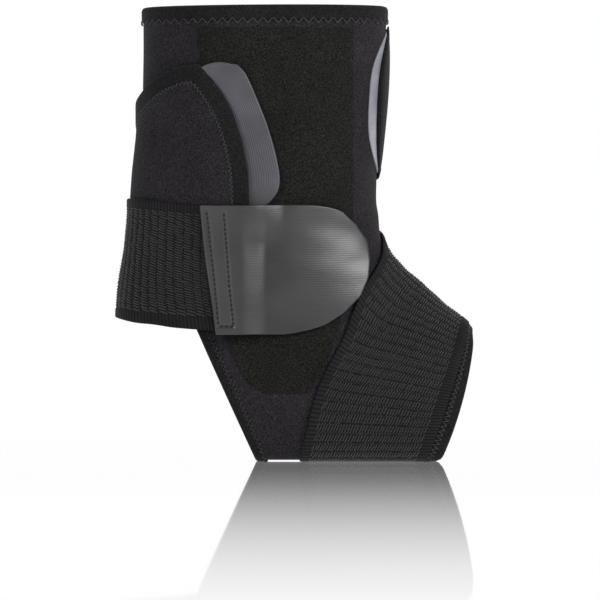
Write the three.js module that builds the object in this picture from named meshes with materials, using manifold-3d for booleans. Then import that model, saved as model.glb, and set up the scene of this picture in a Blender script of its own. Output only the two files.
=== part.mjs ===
// An ankle brace of jersey faced neoprene with two flaps, an elastic strap and a hook tab.
// Millimetres, +Z up, toes towards +X, the near side towards -Y. It stands on its sole.
import * as THREE from "three";
import Module from "manifold-3d";

const wasm = await Module();
wasm.setup();
const { Manifold, Mesh: SolidMesh } = wasm;

// Overall sizes: the front of the rim above the floor, the leg's back to the toes' end,
// and the rim's width across the leg. Tables below hold shares of these.
const TALL = 239;
const LONG = 176;
const WIDE = 82;

// Cloth thicknesses and how far each layer starts from the sleeve's outer face.
const GAP = 0.35;
const NEOPRENE = 3.5;
const FLAP = 2.5;
const WEBBING = 2;
const TAB = 1.8;
const LOOP_CLOTH = 0.8;
const HEM = 1;
const HEM_TALL = 7;
const BINDING = 5;
const BINDING_THICK = WEBBING;
const PANEL_TOP = GAP + LOOP_CLOTH;
const HOOK_IN = PANEL_TOP + GAP;
const FLAP_IN = GAP + 0.25;
const FLAP_TOP = FLAP_IN + FLAP;
const OVER_IN = FLAP_TOP + GAP;
const OVER_TOP = OVER_IN + FLAP;
const STRAP_OVER = OVER_TOP + GAP;

// The sole is flat where it rests, the webbing under it included.
const SOLE = GAP + WEBBING;
const SOLE_BLEND = 4;

// Sections from the top rim to the toes: front and back points seen from the side, half the width,
// how square the section is, and how much wider it is behind or below.
const rows = [
  { frontX: 0.731, frontZ: 1, backX: 0, backZ: 0.989, half: 0.5, square: 2.1, low: 0 },
  { frontX: 0.729, frontZ: 0.929, backX: -0.001, backZ: 0.921, half: 0.494, square: 2.1, low: 0 },
  { frontX: 0.723, frontZ: 0.837, backX: -0.001, backZ: 0.837, half: 0.488, square: 2.1, low: 0 },
  { frontX: 0.715, frontZ: 0.745, backX: -0.001, backZ: 0.745, half: 0.476, square: 2.1, low: 0 },
  { frontX: 0.706, frontZ: 0.657, backX: -0.001, backZ: 0.657, half: 0.463, square: 2.1, low: 0 },
  { frontX: 0.703, frontZ: 0.586, backX: -0.003, backZ: 0.586, half: 0.451, square: 2.1, low: 0.02 },
  { frontX: 0.706, frontZ: 0.548, backX: -0.007, backZ: 0.527, half: 0.445, square: 2.1, low: 0.02 },
  { frontX: 0.71, frontZ: 0.515, backX: -0.015, backZ: 0.473, half: 0.439, square: 2.1, low: 0.03 },
  { frontX: 0.719, frontZ: 0.485, backX: -0.025, backZ: 0.418, half: 0.439, square: 2.1, low: 0.04 },
  { frontX: 0.734, frontZ: 0.459, backX: -0.034, backZ: 0.364, half: 0.439, square: 2.1, low: 0.05 },
  { frontX: 0.751, frontZ: 0.438, backX: -0.036, backZ: 0.305, half: 0.439, square: 2.1, low: 0.06 },
  { frontX: 0.769, frontZ: 0.42, backX: -0.023, backZ: 0.218, half: 0.439, square: 2.1, low: 0.08 },
  { frontX: 0.79, frontZ: 0.403, backX: 0.04, backZ: 0.092, half: 0.439, square: 2.15, low: 0.1 },
  { frontX: 0.815, frontZ: 0.385, backX: 0.165, backZ: -0.017, half: 0.439, square: 2.2, low: 0.12 },
  { frontX: 0.844, frontZ: 0.367, backX: 0.307, backZ: -0.038, half: 0.445, square: 2.25, low: 0.12 },
  { frontX: 0.878, frontZ: 0.348, backX: 0.455, backZ: -0.038, half: 0.451, square: 2.3, low: 0.12 },
  { frontX: 0.916, frontZ: 0.33, backX: 0.602, backZ: -0.038, half: 0.451, square: 2.3, low: 0.12 },
  { frontX: 0.955, frontZ: 0.311, backX: 0.739, backZ: -0.038, half: 0.445, square: 2.3, low: 0.12 },
  { frontX: 0.99, frontZ: 0.293, backX: 0.872, backZ: -0.033, half: 0.439, square: 2.3, low: 0.12 },
];
const LAST = rows.length - 1;

const turn = (degrees) => (degrees * Math.PI) / 180;
const mix = (a, b, share) => a + (b - a) * share;
const ease = (x) => {
  const s = Math.min(1, Math.max(0, x));
  return s * s * (3 - 2 * s);
};

// A smooth value of one column through the rows of a table.
function along(table, column, at) {
  const last = table.length - 1;
  const x = Math.min(last, Math.max(0, at));
  const i = Math.min(last - 1, Math.floor(x));
  const s = x - i;
  const value = (k) => table[Math.min(last, Math.max(0, k))][column];
  const [a, b, c, d] = [value(i - 1), value(i), value(i + 1), value(i + 2)];
  return b + 0.5 * s * (c - a + s * (2 * a - 5 * b + 4 * c - d + s * (3 * (b - c) + d - a)));
}

// One section of the sleeve, in millimetres.
function section(at) {
  return {
    fx: along(rows, "frontX", at) * LONG,
    fz: along(rows, "frontZ", at) * TALL,
    bx: along(rows, "backX", at) * LONG,
    bz: along(rows, "backZ", at) * TALL,
    half: along(rows, "half", at) * WIDE,
    square: along(rows, "square", at),
    low: along(rows, "low", at),
  };
}

// The sleeve's outer face: at runs along the rows, round is in degrees, 0 at the shin,
// 90 on the near side, 180 at the back or the sole and 270 on the far side.
function face(at, round) {
  const { fx, fz, bx, bz, half, square, low } = section(at);
  const c = Math.cos(turn(round));
  const s = Math.sin(turn(round));
  const u = Math.sign(c) * Math.abs(c) ** (2 / square);
  const v = Math.sign(s) * Math.abs(s) ** (2 / square) * (1 - low * u);
  const x = (fx + bx) / 2 + (u * (fx - bx)) / 2;
  let z = (fz + bz) / 2 + (u * (fz - bz)) / 2;
  if (z < SOLE - SOLE_BLEND) z = SOLE;
  else if (z < SOLE + SOLE_BLEND) z = SOLE + (z - SOLE + SOLE_BLEND) ** 2 / (4 * SOLE_BLEND);
  return new THREE.Vector3(x, -half * v, z);
}

// The face moved outwards by a distance.
function layer(at, round, out) {
  const step = 0.02;
  const here = Math.min(LAST - step, Math.max(step, at));
  const down = face(here + step, round).sub(face(here - step, round));
  const side = face(here, round + 1).sub(face(here, round - 1));
  return face(at, round).addScaledVector(down.cross(side).normalize(), -out);
}

// The row on which a test turns from negative to positive.
function turning(test, from) {
  let [low, high] = [from, LAST];
  for (let i = 0; i < 40; i++) {
    const middle = (low + high) / 2;
    if (test(middle) > 0) high = middle;
    else low = middle;
  }
  return (low + high) / 2;
}

// Where a point seen from the near side lies on the face, in shares of the length and height.
function seen(long, tall) {
  const [x, z] = [long * LONG, tall * TALL];
  const at = turning((row) => {
    const { fx, fz, bx, bz } = section(row);
    return (fx - bx) * (z - bz) - (fz - bz) * (x - bx);
  }, 0);
  const { fx, fz, bx, bz, square } = section(at);
  const u = (2 * ((x - bx) * (fx - bx) + (z - bz) * (fz - bz))) / ((fx - bx) ** 2 + (fz - bz) ** 2) - 1;
  const share = Math.min(1, Math.abs(u)) ** (square / 2);
  return { at, round: (Math.acos(Math.sign(u) * share) * 180) / Math.PI };
}
const unseen = (long, tall) => {
  const spot = seen(long, tall);
  return { at: spot.at, round: -spot.round };
};

// Where the face has a given share of the height, at a given turn round the leg.
const height = (round, tall) => ({ at: turning((row) => tall * TALL - face(row, round).z, 0), round });

// Where the foot has a given share of the length, at a given turn.
const FOOT_ROW = 10;
const sole = (round, long) => ({
  at: turning((row) => face(row, round).x - long * LONG, FOOT_ROW),
  round,
});

// A closed body between two grids of points, open or closed round its columns.
function between(inner, outer, ring) {
  const tall = inner.length;
  const wide = inner[0].length;
  const points = [...inner.flat(), ...outer.flat()];
  const faces = [];
  const index = (skin, i, j) => skin * tall * wide + i * wide + (j % wide);
  const quad = (a, b, c, d) => faces.push(a, b, c, a, c, d);
  const spans = ring ? wide : wide - 1;
  for (let i = 0; i < tall - 1; i++)
    for (let j = 0; j < spans; j++) {
      quad(index(1, i, j), index(1, i + 1, j), index(1, i + 1, j + 1), index(1, i, j + 1));
      quad(index(0, i, j), index(0, i, j + 1), index(0, i + 1, j + 1), index(0, i + 1, j));
    }
  for (let j = 0; j < spans; j++) {
    quad(index(0, 0, j), index(1, 0, j), index(1, 0, j + 1), index(0, 0, j + 1));
    const end = tall - 1;
    quad(index(0, end, j), index(0, end, j + 1), index(1, end, j + 1), index(1, end, j));
  }
  if (!ring)
    for (let i = 0; i < tall - 1; i++) {
      quad(index(0, i, 0), index(0, i + 1, 0), index(1, i + 1, 0), index(1, i, 0));
      const end = wide - 1;
      quad(index(0, i, end), index(1, i, end), index(1, i + 1, end), index(0, i + 1, end));
    }
  const made = new THREE.BufferGeometry();
  made.setAttribute("position", new THREE.Float32BufferAttribute(points.flatMap((p) => p.toArray()), 3));
  made.setIndex(faces);
  return outwards(made);
}

// The same body with its faces turned out.
function outwards(made) {
  const [p, order] = [made.attributes.position, made.index.array];
  const [a, b, c] = [new THREE.Vector3(), new THREE.Vector3(), new THREE.Vector3()];
  let volume = 0;
  for (let i = 0; i < order.length; i += 3) {
    a.fromBufferAttribute(p, order[i]);
    b.fromBufferAttribute(p, order[i + 1]);
    c.fromBufferAttribute(p, order[i + 2]);
    volume += a.dot(b.cross(c));
  }
  if (volume < 0)
    for (let i = 0; i < order.length; i += 3) [order[i], order[i + 1]] = [order[i + 1], order[i]];
  return made;
}

const solid = (geometry) =>
  new Manifold(
    new SolidMesh({
      numProp: 3,
      vertProperties: new Float32Array(geometry.attributes.position.array),
      triVerts: new Uint32Array(geometry.index.array),
    }),
  );

function geometryOf(body) {
  const mesh = body.getMesh();
  const made = new THREE.BufferGeometry();
  const points = Float32Array.from(
    { length: mesh.numVert * 3 },
    (_, i) => mesh.vertProperties[Math.floor(i / 3) * mesh.numProp + (i % 3)],
  );
  made.setAttribute("position", new THREE.BufferAttribute(points, 3));
  made.setIndex(new THREE.BufferAttribute(new Uint32Array(mesh.triVerts), 1));
  return made;
}

// A tube of cloth round the whole section, between two places along the rows.
function tube(from, to, inside, outside, steps, turns) {
  const grid = (out) =>
    Array.from({ length: steps + 1 }, (_, i) =>
      Array.from({ length: turns }, (_, j) =>
        layer(mix(from, to, i / steps), (j * 360) / turns, out),
      ),
    );
  return between(grid(inside), grid(outside), true);
}

// The heel opening is cut straight, square to the side view.
const heelTop = new THREE.Vector2(0.02 * LONG, 0.53 * TALL);
const heelFoot = new THREE.Vector2(0.358 * LONG, 0);
const REACH = TALL + LONG;

// Everything behind a line drawn down the side view, moved forward by a distance.
function behind(top, foot, forward) {
  const line = foot.clone().sub(top).normalize();
  const middle = top.clone().add(foot).multiplyScalar(0.5);
  const square = new THREE.Vector2(-line.y, line.x).multiplyScalar(forward - REACH / 2);
  const lean = (Math.atan2(line.x, -line.y) * 180) / Math.PI;
  return Manifold.cube([REACH, REACH, REACH * 2], true)
    .rotate([0, -lean, 0])
    .translate([middle.x + square.x, 0, middle.y + square.y]);
}
const TOP_CUT = heelTop.y + 2;
const lowOnly = Manifold.cube([REACH * 2, REACH, REACH], true).translate([0, 0, TOP_CUT - REACH / 2]);
const heelHole = behind(heelTop, heelFoot, 0).intersect(lowOnly);

const RING_TURNS = 46;
const sleeve = geometryOf(
  solid(tube(0, LAST, -NEOPRENE, 0, 28, RING_TURNS)).subtract(heelHole),
);

// The hem and the bindings lie on the sleeve's outer face.
const hemEnd = height(0, rows[0].frontZ - HEM_TALL / TALL).at;
const topHem = tube(0, hemEnd, GAP, GAP + HEM, 1, RING_TURNS);
const toeTop = new THREE.Vector2(0.977 * LONG, 0.29 * TALL);
const toeFoot = new THREE.Vector2(0.845 * LONG, 0.009 * TALL);
const toeBinding = geometryOf(
  solid(tube(LAST - 1, LAST, GAP, BINDING_THICK + GAP, 3, RING_TURNS)).subtract(
    behind(toeTop, toeFoot, 0),
  ),
);
const heelBinding = geometryOf(
  solid(tube(5, LAST - 2, GAP, BINDING_THICK + GAP, 18, RING_TURNS))
    .subtract(heelHole)
    .intersect(behind(heelTop, heelFoot, BINDING).intersect(lowOnly.translate([0, 0, 4]))),
);

// A sheet laid over the face: spot gives the place of a share along and across it.
function sheet(long, wide, spot, inside, outside) {
  const grid = (out) =>
    Array.from({ length: long + 1 }, (_, i) =>
      Array.from({ length: wide + 1 }, (_, j) => {
        const [a, b] = [i / long, j / wide];
        const { at, round } = spot(a, b);
        return layer(at, round, out(a, b));
      }),
    );
  return between(grid(inside), grid(outside), false);
}

// A straight line through the rows of a table, by its share column.
function edge(table, column, share) {
  const next = Math.max(1, table.findIndex((row) => row.share >= share));
  const [a, b] = [table[next - 1], table[next]];
  return mix(a[column], b[column], (share - a.share) / (b.share - a.share));
}

// The napped panel on the near side, as seen from there.
const panel = [
  { share: 0, left: 0.364, right: 0.494, z: 0.153 },
  { share: 0.06, left: 0.307, right: 0.523, z: 0.184 },
  { share: 0.18, left: 0.239, right: 0.585, z: 0.285 },
  { share: 0.4, left: 0.205, right: 0.631, z: 0.46 },
  { share: 0.75, left: 0.182, right: 0.631, z: 0.753 },
  { share: 1, left: 0.17, right: 0.631, z: 0.956 },
];
const loopPanel = sheet(
  11,
  18,
  (a, b) => seen(mix(edge(panel, "left", b), edge(panel, "right", b), a), edge(panel, "z", b)),
  () => GAP,
  () => PANEL_TOP,
);

// The back flap: its curved edge on the near side, its top edge from the far side to that edge.
const backEdge = [
  { share: 0, round: 94.5 },
  { share: 0.1, round: 94.8 },
  { share: 0.31, round: 95.6 },
  { share: 0.5, round: 98.5 },
  { share: 0.7, round: 103.4 },
  { share: 0.85, round: 110 },
  { share: 1, round: 120 },
];
const backTop = [
  { share: 0, z: 0.636 },
  { share: 0.25, z: 0.728 },
  { share: 0.48, z: 0.789 },
  { share: 0.6, z: 0.805 },
  { share: 0.8, z: 0.847 },
  { share: 0.9, z: 0.865 },
  { share: 1, z: 0.872 },
];
const BACK_ROOT = 240;
const BACK_LOW = 0.536;
const backLift = (z) => mix(OVER_IN, FLAP_IN, ease((z - 0.787) / 0.084));
const backSpot = (a, b) =>
  height(mix(BACK_ROOT, edge(backEdge, "round", b), a), mix(BACK_LOW, edge(backTop, "z", a), b));
const backIn = (a, b) => {
  const z = mix(BACK_LOW, edge(backTop, "z", a), b);
  return mix(backLift(z), OVER_IN, ease((a - 0.72) / 0.2));
};
const backFlap = sheet(22, 9, backSpot, backIn, (a, b) => backIn(a, b) + FLAP);

// The hook strip that shows beyond the back flap's edge.
const backHookEdge = [
  { share: 0, round: 94, inner: 101, z: 0.54 },
  { share: 0.08, round: 87.5, inner: 101, z: 0.564 },
  { share: 0.13, round: 84.2, inner: 101, z: 0.581 },
  { share: 0.19, round: 81.7, inner: 101, z: 0.6 },
  { share: 0.28, round: 81.4, inner: 101.5, z: 0.63 },
  { share: 0.42, round: 83.7, inner: 103, z: 0.678 },
  { share: 0.57, round: 87.1, inner: 105.5, z: 0.73 },
  { share: 0.73, round: 91.4, inner: 110, z: 0.787 },
  { share: 0.87, round: 95.6, inner: 117, z: 0.835 },
  { share: 0.96, round: 99, inner: 122, z: 0.866 },
  { share: 1, round: 104, inner: 121, z: 0.881 },
];
const backHook = sheet(
  4,
  16,
  (a, b) =>
    height(
      mix(edge(backHookEdge, "inner", b), edge(backHookEdge, "round", b), a),
      Math.min(edge(backHookEdge, "z", b), mix(0.866, 0.921, a)),
    ),
  () => HOOK_IN,
  () => FLAP_TOP,
);

// The front flap runs from the near side behind, under the back flap, round the far side
// to the shin, where its end is a round D.
const frontPath = [
  { share: 0, low: 0.586, high: 0.703 },
  { share: 0.14, low: 0.573, high: 0.745 },
  { share: 0.35, low: 0.573, high: 0.803 },
  { share: 0.6, low: 0.59, high: 0.879 },
  { share: 0.82, low: 0.619, high: 0.937 },
  { share: 1, low: 0.636, high: 0.96 },
];
const FRONT_ROOT = 240;
const frontEnd = (b) => 14 - 13 * Math.abs(2 * b - 1) ** 3;
const frontSpot = (end) => (a, b) =>
  height(
    mix(-FRONT_ROOT, end(b), a),
    mix(edge(frontPath, "low", a), edge(frontPath, "high", a), b),
  );
const frontFlap = sheet(28, 8, frontSpot(frontEnd), () => FLAP_IN, () => FLAP_TOP);


// Its hook strip lies on the sleeve beyond the flap's end.
const frontHook = sheet(
  4,
  12,
  (a, b) => {
    const bulge = 1 - Math.abs(2 * b - 1) ** 2.6;
    const start = frontEnd(b) + 0.8;
    return height(mix(start, start + 1 + 14 * bulge, a), mix(0.634, 0.962, b));
  },
  () => GAP,
  () => PANEL_TOP,
);

// The strap, along its length: its two edges and how far each lies from the sleeve's face.
const onSleeve = GAP;
const strap = [
  { left: sole(218, 0.494), right: sole(214, 0.835), liftLeft: onSleeve, liftRight: onSleeve },
  { left: sole(196, 0.489), right: sole(196, 0.835), liftLeft: onSleeve, liftRight: onSleeve },
  { left: sole(180, 0.483), right: sole(180, 0.835), liftLeft: onSleeve, liftRight: onSleeve },
  { left: sole(160, 0.481), right: sole(160, 0.835), liftLeft: onSleeve, liftRight: onSleeve },
  { left: seen(0.486, 0.04), right: seen(0.852, 0.04), liftLeft: onSleeve, liftRight: onSleeve },
  { left: seen(0.511, 0.113), right: seen(0.875, 0.092), liftLeft: onSleeve, liftRight: onSleeve },
  { left: seen(0.557, 0.205), right: seen(0.902, 0.151), liftLeft: onSleeve, liftRight: onSleeve },
  { left: seen(0.616, 0.293), right: seen(0.93, 0.209), liftLeft: onSleeve, liftRight: onSleeve },
  { left: seen(0.668, 0.389), right: seen(0.955, 0.259), liftLeft: onSleeve, liftRight: onSleeve },
  { left: height(8, 0.481), right: height(4, 0.303), liftLeft: onSleeve, liftRight: onSleeve },
  { left: unseen(0.676, 0.519), right: unseen(0.915, 0.251), liftLeft: onSleeve, liftRight: onSleeve },
  { left: unseen(0.591, 0.536), right: unseen(0.79, 0.243), liftLeft: onSleeve, liftRight: onSleeve },
  { left: unseen(0.477, 0.548), right: unseen(0.619, 0.259), liftLeft: 1, liftRight: 0.6 },
  { left: unseen(0.335, 0.556), right: unseen(0.432, 0.276), liftLeft: 4, liftRight: 2.5 },
  { left: unseen(0.176, 0.565), right: unseen(0.244, 0.289), liftLeft: STRAP_OVER, liftRight: 4.5 },
  { left: unseen(0.051, 0.571), right: unseen(0.074, 0.299), liftLeft: STRAP_OVER, liftRight: 6 },
  { left: height(-180, 0.577), right: height(-180, 0.308), liftLeft: STRAP_OVER, liftRight: 6.4 },
  { left: height(-210, 0.575), right: height(-214, 0.305), liftLeft: STRAP_OVER, liftRight: 6.2 },
  { left: seen(0.108, 0.568), right: seen(0.108, 0.3), liftLeft: STRAP_OVER, liftRight: 4.6 },
  { left: seen(0.205, 0.561), right: seen(0.216, 0.294), liftLeft: STRAP_OVER, liftRight: 3.2 },
  { left: seen(0.284, 0.556), right: seen(0.29, 0.291), liftLeft: STRAP_OVER, liftRight: 3.2 },
];
// Turns round the leg run on past the back, so that the strap's path has no jump.
strap.forEach((row, i) => {
  for (const side of ["left", "right"])
    if (i > 17 && row[side].round > 0) row[side] = { ...row[side], round: row[side].round - 360 };
});
const strapTable = strap.map((row) => ({
  leftAt: row.left.at,
  leftRound: row.left.round,
  rightAt: row.right.at,
  rightRound: row.right.round,
  liftLeft: row.liftLeft,
  liftRight: row.liftRight,
}));
const strapAt = (a, b, columns) => {
  const at = a * (strapTable.length - 1);
  return mix(along(strapTable, columns[0], at), along(strapTable, columns[1], at), b);
};
const strapSpot = (a, b) => ({
  at: strapAt(a, b, ["leftAt", "rightAt"]),
  round: strapAt(a, b, ["leftRound", "rightRound"]),
});
const strapLift = (a, b) => Math.max(GAP, strapAt(a, b, ["liftLeft", "liftRight"]));
const elasticStrap = sheet((strap.length - 1) * 5, 5, strapSpot, strapLift, (a, b) => strapLift(a, b) + WEBBING);

// The tab: over the strap's end, then down to the panel, with a round end towards the toes.
const tab = [
  { share: 0, left: 0.23, right: 0.426, z: 0.283 },
  { share: 0.015, left: 0.228, right: 0.483, z: 0.289 },
  { share: 0.05, left: 0.226, right: 0.54, z: 0.301 },
  { share: 0.14, left: 0.222, right: 0.598, z: 0.328 },
  { share: 0.27, left: 0.216, right: 0.644, z: 0.363 },
  { share: 0.41, left: 0.209, right: 0.664, z: 0.402 },
  { share: 0.54, left: 0.203, right: 0.668, z: 0.439 },
  { share: 0.7, left: 0.198, right: 0.656, z: 0.485 },
  { share: 0.84, left: 0.194, right: 0.626, z: 0.523 },
  { share: 0.95, left: 0.192, right: 0.587, z: 0.552 },
  { share: 0.985, left: 0.191, right: 0.54, z: 0.562 },
  { share: 1, left: 0.191, right: 0.494, z: 0.564 },
];
const STRAP_END = 0.29;
const TAB_DOWN = 0.08;
const tabTop = tab[tab.length - 1].z;
const tabTall = tabTop - tab[0].z;
const tabX = (a, b) => mix(edge(tab, "left", b), edge(tab, "right", b), a);
const tabIn = (a, b) => {
  const over = mix(strapLift(1, 0), strapLift(1, 1), (tabTop - edge(tab, "z", b)) / tabTall) + WEBBING + GAP;
  const on = mix(HOOK_IN, OVER_TOP + GAP, ease((b - 0.7) / 0.3) * (1 - ease((tabX(a, b) - 0.335) / 0.09)));
  return mix(over, on, ease((tabX(a, b) - STRAP_END) / TAB_DOWN - 0.06));
};
const hookTab = sheet(
  16,
  13,
  (a, b) => seen(tabX(a, ease(b)), edge(tab, "z", ease(b))),
  (a, b) => tabIn(a, ease(b)),
  (a, b) => tabIn(a, ease(b)) + TAB,
);

const pieces = {
  sleeve: { geometry: sleeve, color: 0x1c1a1e, roughness: 0.95 },
  loop_panel: { geometry: loopPanel, color: 0x171a18, roughness: 1 },
  top_hem: { geometry: topHem, color: 0x191719, roughness: 0.9 },
  heel_binding: { geometry: heelBinding, color: 0x19171a, roughness: 0.9 },
  toe_binding: { geometry: toeBinding, color: 0x19171a, roughness: 0.9 },
  back_flap: { geometry: backFlap, color: 0x201d22, roughness: 0.95 },
  back_flap_hook_strip: { geometry: backHook, color: 0x5c5c60, roughness: 0.6 },
  front_flap: { geometry: frontFlap, color: 0x201d22, roughness: 0.95 },
  front_flap_hook_strip: { geometry: frontHook, color: 0x8a8a90, roughness: 0.6 },
  elastic_strap: { geometry: elasticStrap, color: 0x121212, roughness: 0.85 },
  hook_tab: { geometry: hookTab, color: 0x4c4c50, roughness: 0.6 },
};

// The part's frame has its origin under the middle of its bounding box.
const bounds = new THREE.Box3();
for (const { geometry } of Object.values(pieces)) {
  geometry.computeBoundingBox();
  bounds.union(geometry.boundingBox);
}
const middle = bounds.getCenter(new THREE.Vector3());
const brace = new THREE.Group();
brace.name = "ankle_brace";
for (const [name, { geometry, color, roughness }] of Object.entries(pieces)) {
  geometry.translate(-middle.x, -middle.y, -bounds.min.z);
  geometry.computeVertexNormals();
  const mesh = new THREE.Mesh(geometry, new THREE.MeshStandardMaterial({ color, roughness }));
  mesh.name = name;
  brace.add(mesh);
}

export default brace;
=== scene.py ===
"""An ankle brace of jersey faced neoprene, with two crossing flaps, a ribbed elastic strap and a
grey hook tab, laid over the form of a leg and foot. Sizes below are millimetres, and points that
leave form_point() are metres in the row's frame: +Z up, toes towards +X, near side towards -Y."""

import math

import bpy
import numpy as np
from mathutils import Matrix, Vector


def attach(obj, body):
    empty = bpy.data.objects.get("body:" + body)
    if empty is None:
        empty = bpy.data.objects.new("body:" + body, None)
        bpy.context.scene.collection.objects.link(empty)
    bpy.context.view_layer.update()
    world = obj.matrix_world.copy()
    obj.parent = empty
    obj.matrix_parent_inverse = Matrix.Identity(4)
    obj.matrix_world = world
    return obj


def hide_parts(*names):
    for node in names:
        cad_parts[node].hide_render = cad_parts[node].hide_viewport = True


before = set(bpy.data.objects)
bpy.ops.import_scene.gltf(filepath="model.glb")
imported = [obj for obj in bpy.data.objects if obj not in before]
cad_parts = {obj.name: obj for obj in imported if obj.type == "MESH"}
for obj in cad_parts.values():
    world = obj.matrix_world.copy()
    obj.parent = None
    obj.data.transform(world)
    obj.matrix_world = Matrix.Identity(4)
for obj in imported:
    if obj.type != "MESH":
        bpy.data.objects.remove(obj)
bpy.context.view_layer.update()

bl_info = {
    "name": "Ankle brace",
    "version": (1, 0, 0),
    "blender": (4, 5, 0),
    "location": "View3D > Sidebar > Brace",
    "description": "Builds a neoprene ankle brace on its packed solids",
    "category": "Add Mesh",
}

MM = 0.001

# The form that the cloth lies on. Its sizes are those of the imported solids. Its table runs up to
# 4 mm farther out than theirs at the front of the instep and toe, and a little higher at the rim.
TALL, LONG, WIDE = 239.0, 176.0, 82.0
# Where the frame's origin lies, in the form's own millimetres.
ORIGIN_X, ORIGIN_Y = 80.412, -1.82
# The gap between layers, and the webbing's thickness.
GAP = 0.35
WEBBING = 2.0
# The height of the flat sole, and over how much the form eases into it. The webbing below is pressed.
SOLE = 1.0
SOLE_BLEND = 4.0
# The ends of the heel opening's straight edge, as shares of the length and height.
HEEL_TOP = (0.02, 0.53)
HEEL_FOOT = (0.345, 0.0)
# How far the toe end bows out in its middle, and how far its top corner is drawn back.
TOE_BOW, TOE_ROUND = 3.2, 1.0
# Bindings: their widths on the outside at the heel and toe, and how high they stand off the sleeve.
HEEL_BAND, TOE_BAND, BAND_TALL = 5, 4, 0.9
# Widths of the bound edges of the flaps.
BACK_BOUND, FRONT_BOUND = 8.0, 4.5
# Halvings of a range in a search, enough for far less than a thousandth of a millimetre.
HALVINGS = 34

# Sections from the top rim to the toes, as shares of the length, height and width:
# front x, front z, back x, back z, half the width, squareness, extra width below.
SECTIONS = np.array([
    (0.731, 1.004, 0.000, 1.001, 0.500, 2.10, 0.00),
    (0.729, 0.929, -0.001, 0.926, 0.494, 2.10, 0.00),
    (0.723, 0.837, -0.001, 0.837, 0.488, 2.10, 0.00),
    (0.715, 0.745, -0.001, 0.745, 0.476, 2.10, 0.00),
    (0.706, 0.657, -0.001, 0.657, 0.463, 2.10, 0.00),
    (0.703, 0.586, -0.003, 0.586, 0.451, 2.10, 0.02),
    (0.706, 0.548, -0.007, 0.527, 0.445, 2.10, 0.02),
    (0.710, 0.515, -0.015, 0.473, 0.439, 2.10, 0.03),
    (0.719, 0.485, -0.025, 0.418, 0.439, 2.10, 0.04),
    (0.740, 0.459, -0.034, 0.364, 0.439, 2.10, 0.05),
    (0.763, 0.438, -0.036, 0.305, 0.439, 2.10, 0.06),
    (0.785, 0.420, -0.023, 0.218, 0.439, 2.10, 0.08),
    (0.810, 0.403, 0.040, 0.092, 0.439, 2.15, 0.10),
    (0.838, 0.385, 0.165, -0.017, 0.439, 2.20, 0.12),
    (0.867, 0.367, 0.307, -0.038, 0.445, 2.25, 0.12),
    (0.897, 0.348, 0.455, -0.038, 0.451, 2.30, 0.12),
    (0.927, 0.330, 0.602, -0.038, 0.451, 2.30, 0.12),
    (0.960, 0.311, 0.739, -0.038, 0.445, 2.30, 0.12),
    (0.995, 0.293, 0.872, -0.033, 0.439, 2.30, 0.12),
])
LAST = len(SECTIONS) - 1


def mix(a, b, share):
    """A value a share of the way from a to b."""
    return a + (b - a) * share


def ease(x):
    """A share from 0 to 1, slow at both ends."""
    s = np.clip(x, 0, 1)
    return s * s * (3 - 2 * s)


def along(column, at):
    """A smooth value through the rows of a table."""
    last = len(column) - 1
    x = np.clip(np.asarray(at, float), 0, last)
    i = np.minimum(x.astype(int), last - 1)
    s = x - i
    padded = np.concatenate([column[:1], column, column[-1:]])
    a, b, c, d = padded[i], padded[i + 1], padded[i + 2], padded[i + 3]
    return b + 0.5 * s * (c - a + s * (2 * a - 5 * b + 4 * c - d + s * (3 * (b - c) + d - a)))


def section(at):
    """The seven values of the form's section at a row, lengths in millimetres."""
    scale = (LONG, TALL, LONG, TALL, WIDE, 1, 1)
    return [along(SECTIONS[:, k], at) * scale[k] for k in range(7)]


def form(at, turn):
    """The form's surface in its own millimetres. turn is in degrees: 0 at the shin, 90 on the near
    side, 180 at the back or under the sole."""
    fx, fz, bx, bz, half, square, low = section(at)
    c, s = np.cos(np.radians(turn)), np.sin(np.radians(turn))
    u = np.sign(c) * np.abs(c) ** (2 / square)
    v = np.sign(s) * np.abs(s) ** (2 / square) * (1 - low * u)
    x = (fx + bx) / 2 + u * (fx - bx) / 2 + TOE_BOW * (1 - u * u) * ease((at - 15) / 3)
    x = x - TOE_ROUND * ease((u - 0.75) / 0.25) * ease((at - 16.5) / 1.5)
    z = (fz + bz) / 2 + u * (fz - bz) / 2
    blend = SOLE + np.maximum(z - SOLE + SOLE_BLEND, 0) ** 2 / (4 * SOLE_BLEND)
    z = np.where(z < SOLE + SOLE_BLEND, blend, z)
    return np.stack(np.broadcast_arrays(x, -half * v, z), -1)


def unit(v):
    return v / np.maximum(np.linalg.norm(v, axis=-1, keepdims=True), 1e-12)


def form_normal(at, turn):
    """The direction away from the form's surface."""
    step = 0.02
    here = np.clip(at, step, LAST - step)
    down = form(here + step, turn) - form(here - step, turn)
    side = form(here, turn + 1) - form(here, turn - 1)
    return -unit(np.cross(down, side))


def ripple(at, turn, z):
    """The slight unevenness of worn foam, in millimetres, none where the sole rests."""
    r = np.radians(turn)
    wave = 0.28 * np.sin(1.1 * at + 0.4) * np.sin(3 * r + 1.2)
    wave += 0.2 * np.sin(1.9 * at + 2.0) * np.sin(5 * r + 0.3)
    wave += 0.12 * np.sin(3.1 * at + 1.0) * np.sin(8 * r + 2.1)
    return wave * ease((z - 8) / 20)


def form_point(at, turn, out):
    """A point a distance in millimetres outside the form, in metres in the row's frame."""
    base = form(at, turn)
    lift = np.asarray(out) + ripple(at, turn, base[..., 2])
    p = base + form_normal(at, turn) * lift[..., None]
    return (p - (ORIGIN_X, ORIGIN_Y, 0)) * MM


def turning(test, start, shape):
    """The row on which a test turns from negative to positive, for an array of tests."""
    low, high = np.full(shape, float(start)), np.full(shape, float(LAST))
    for _ in range(HALVINGS):
        middle = (low + high) / 2
        over = test(middle) > 0
        high = np.where(over, middle, high)
        low = np.where(over, low, middle)
    return (low + high) / 2


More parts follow.
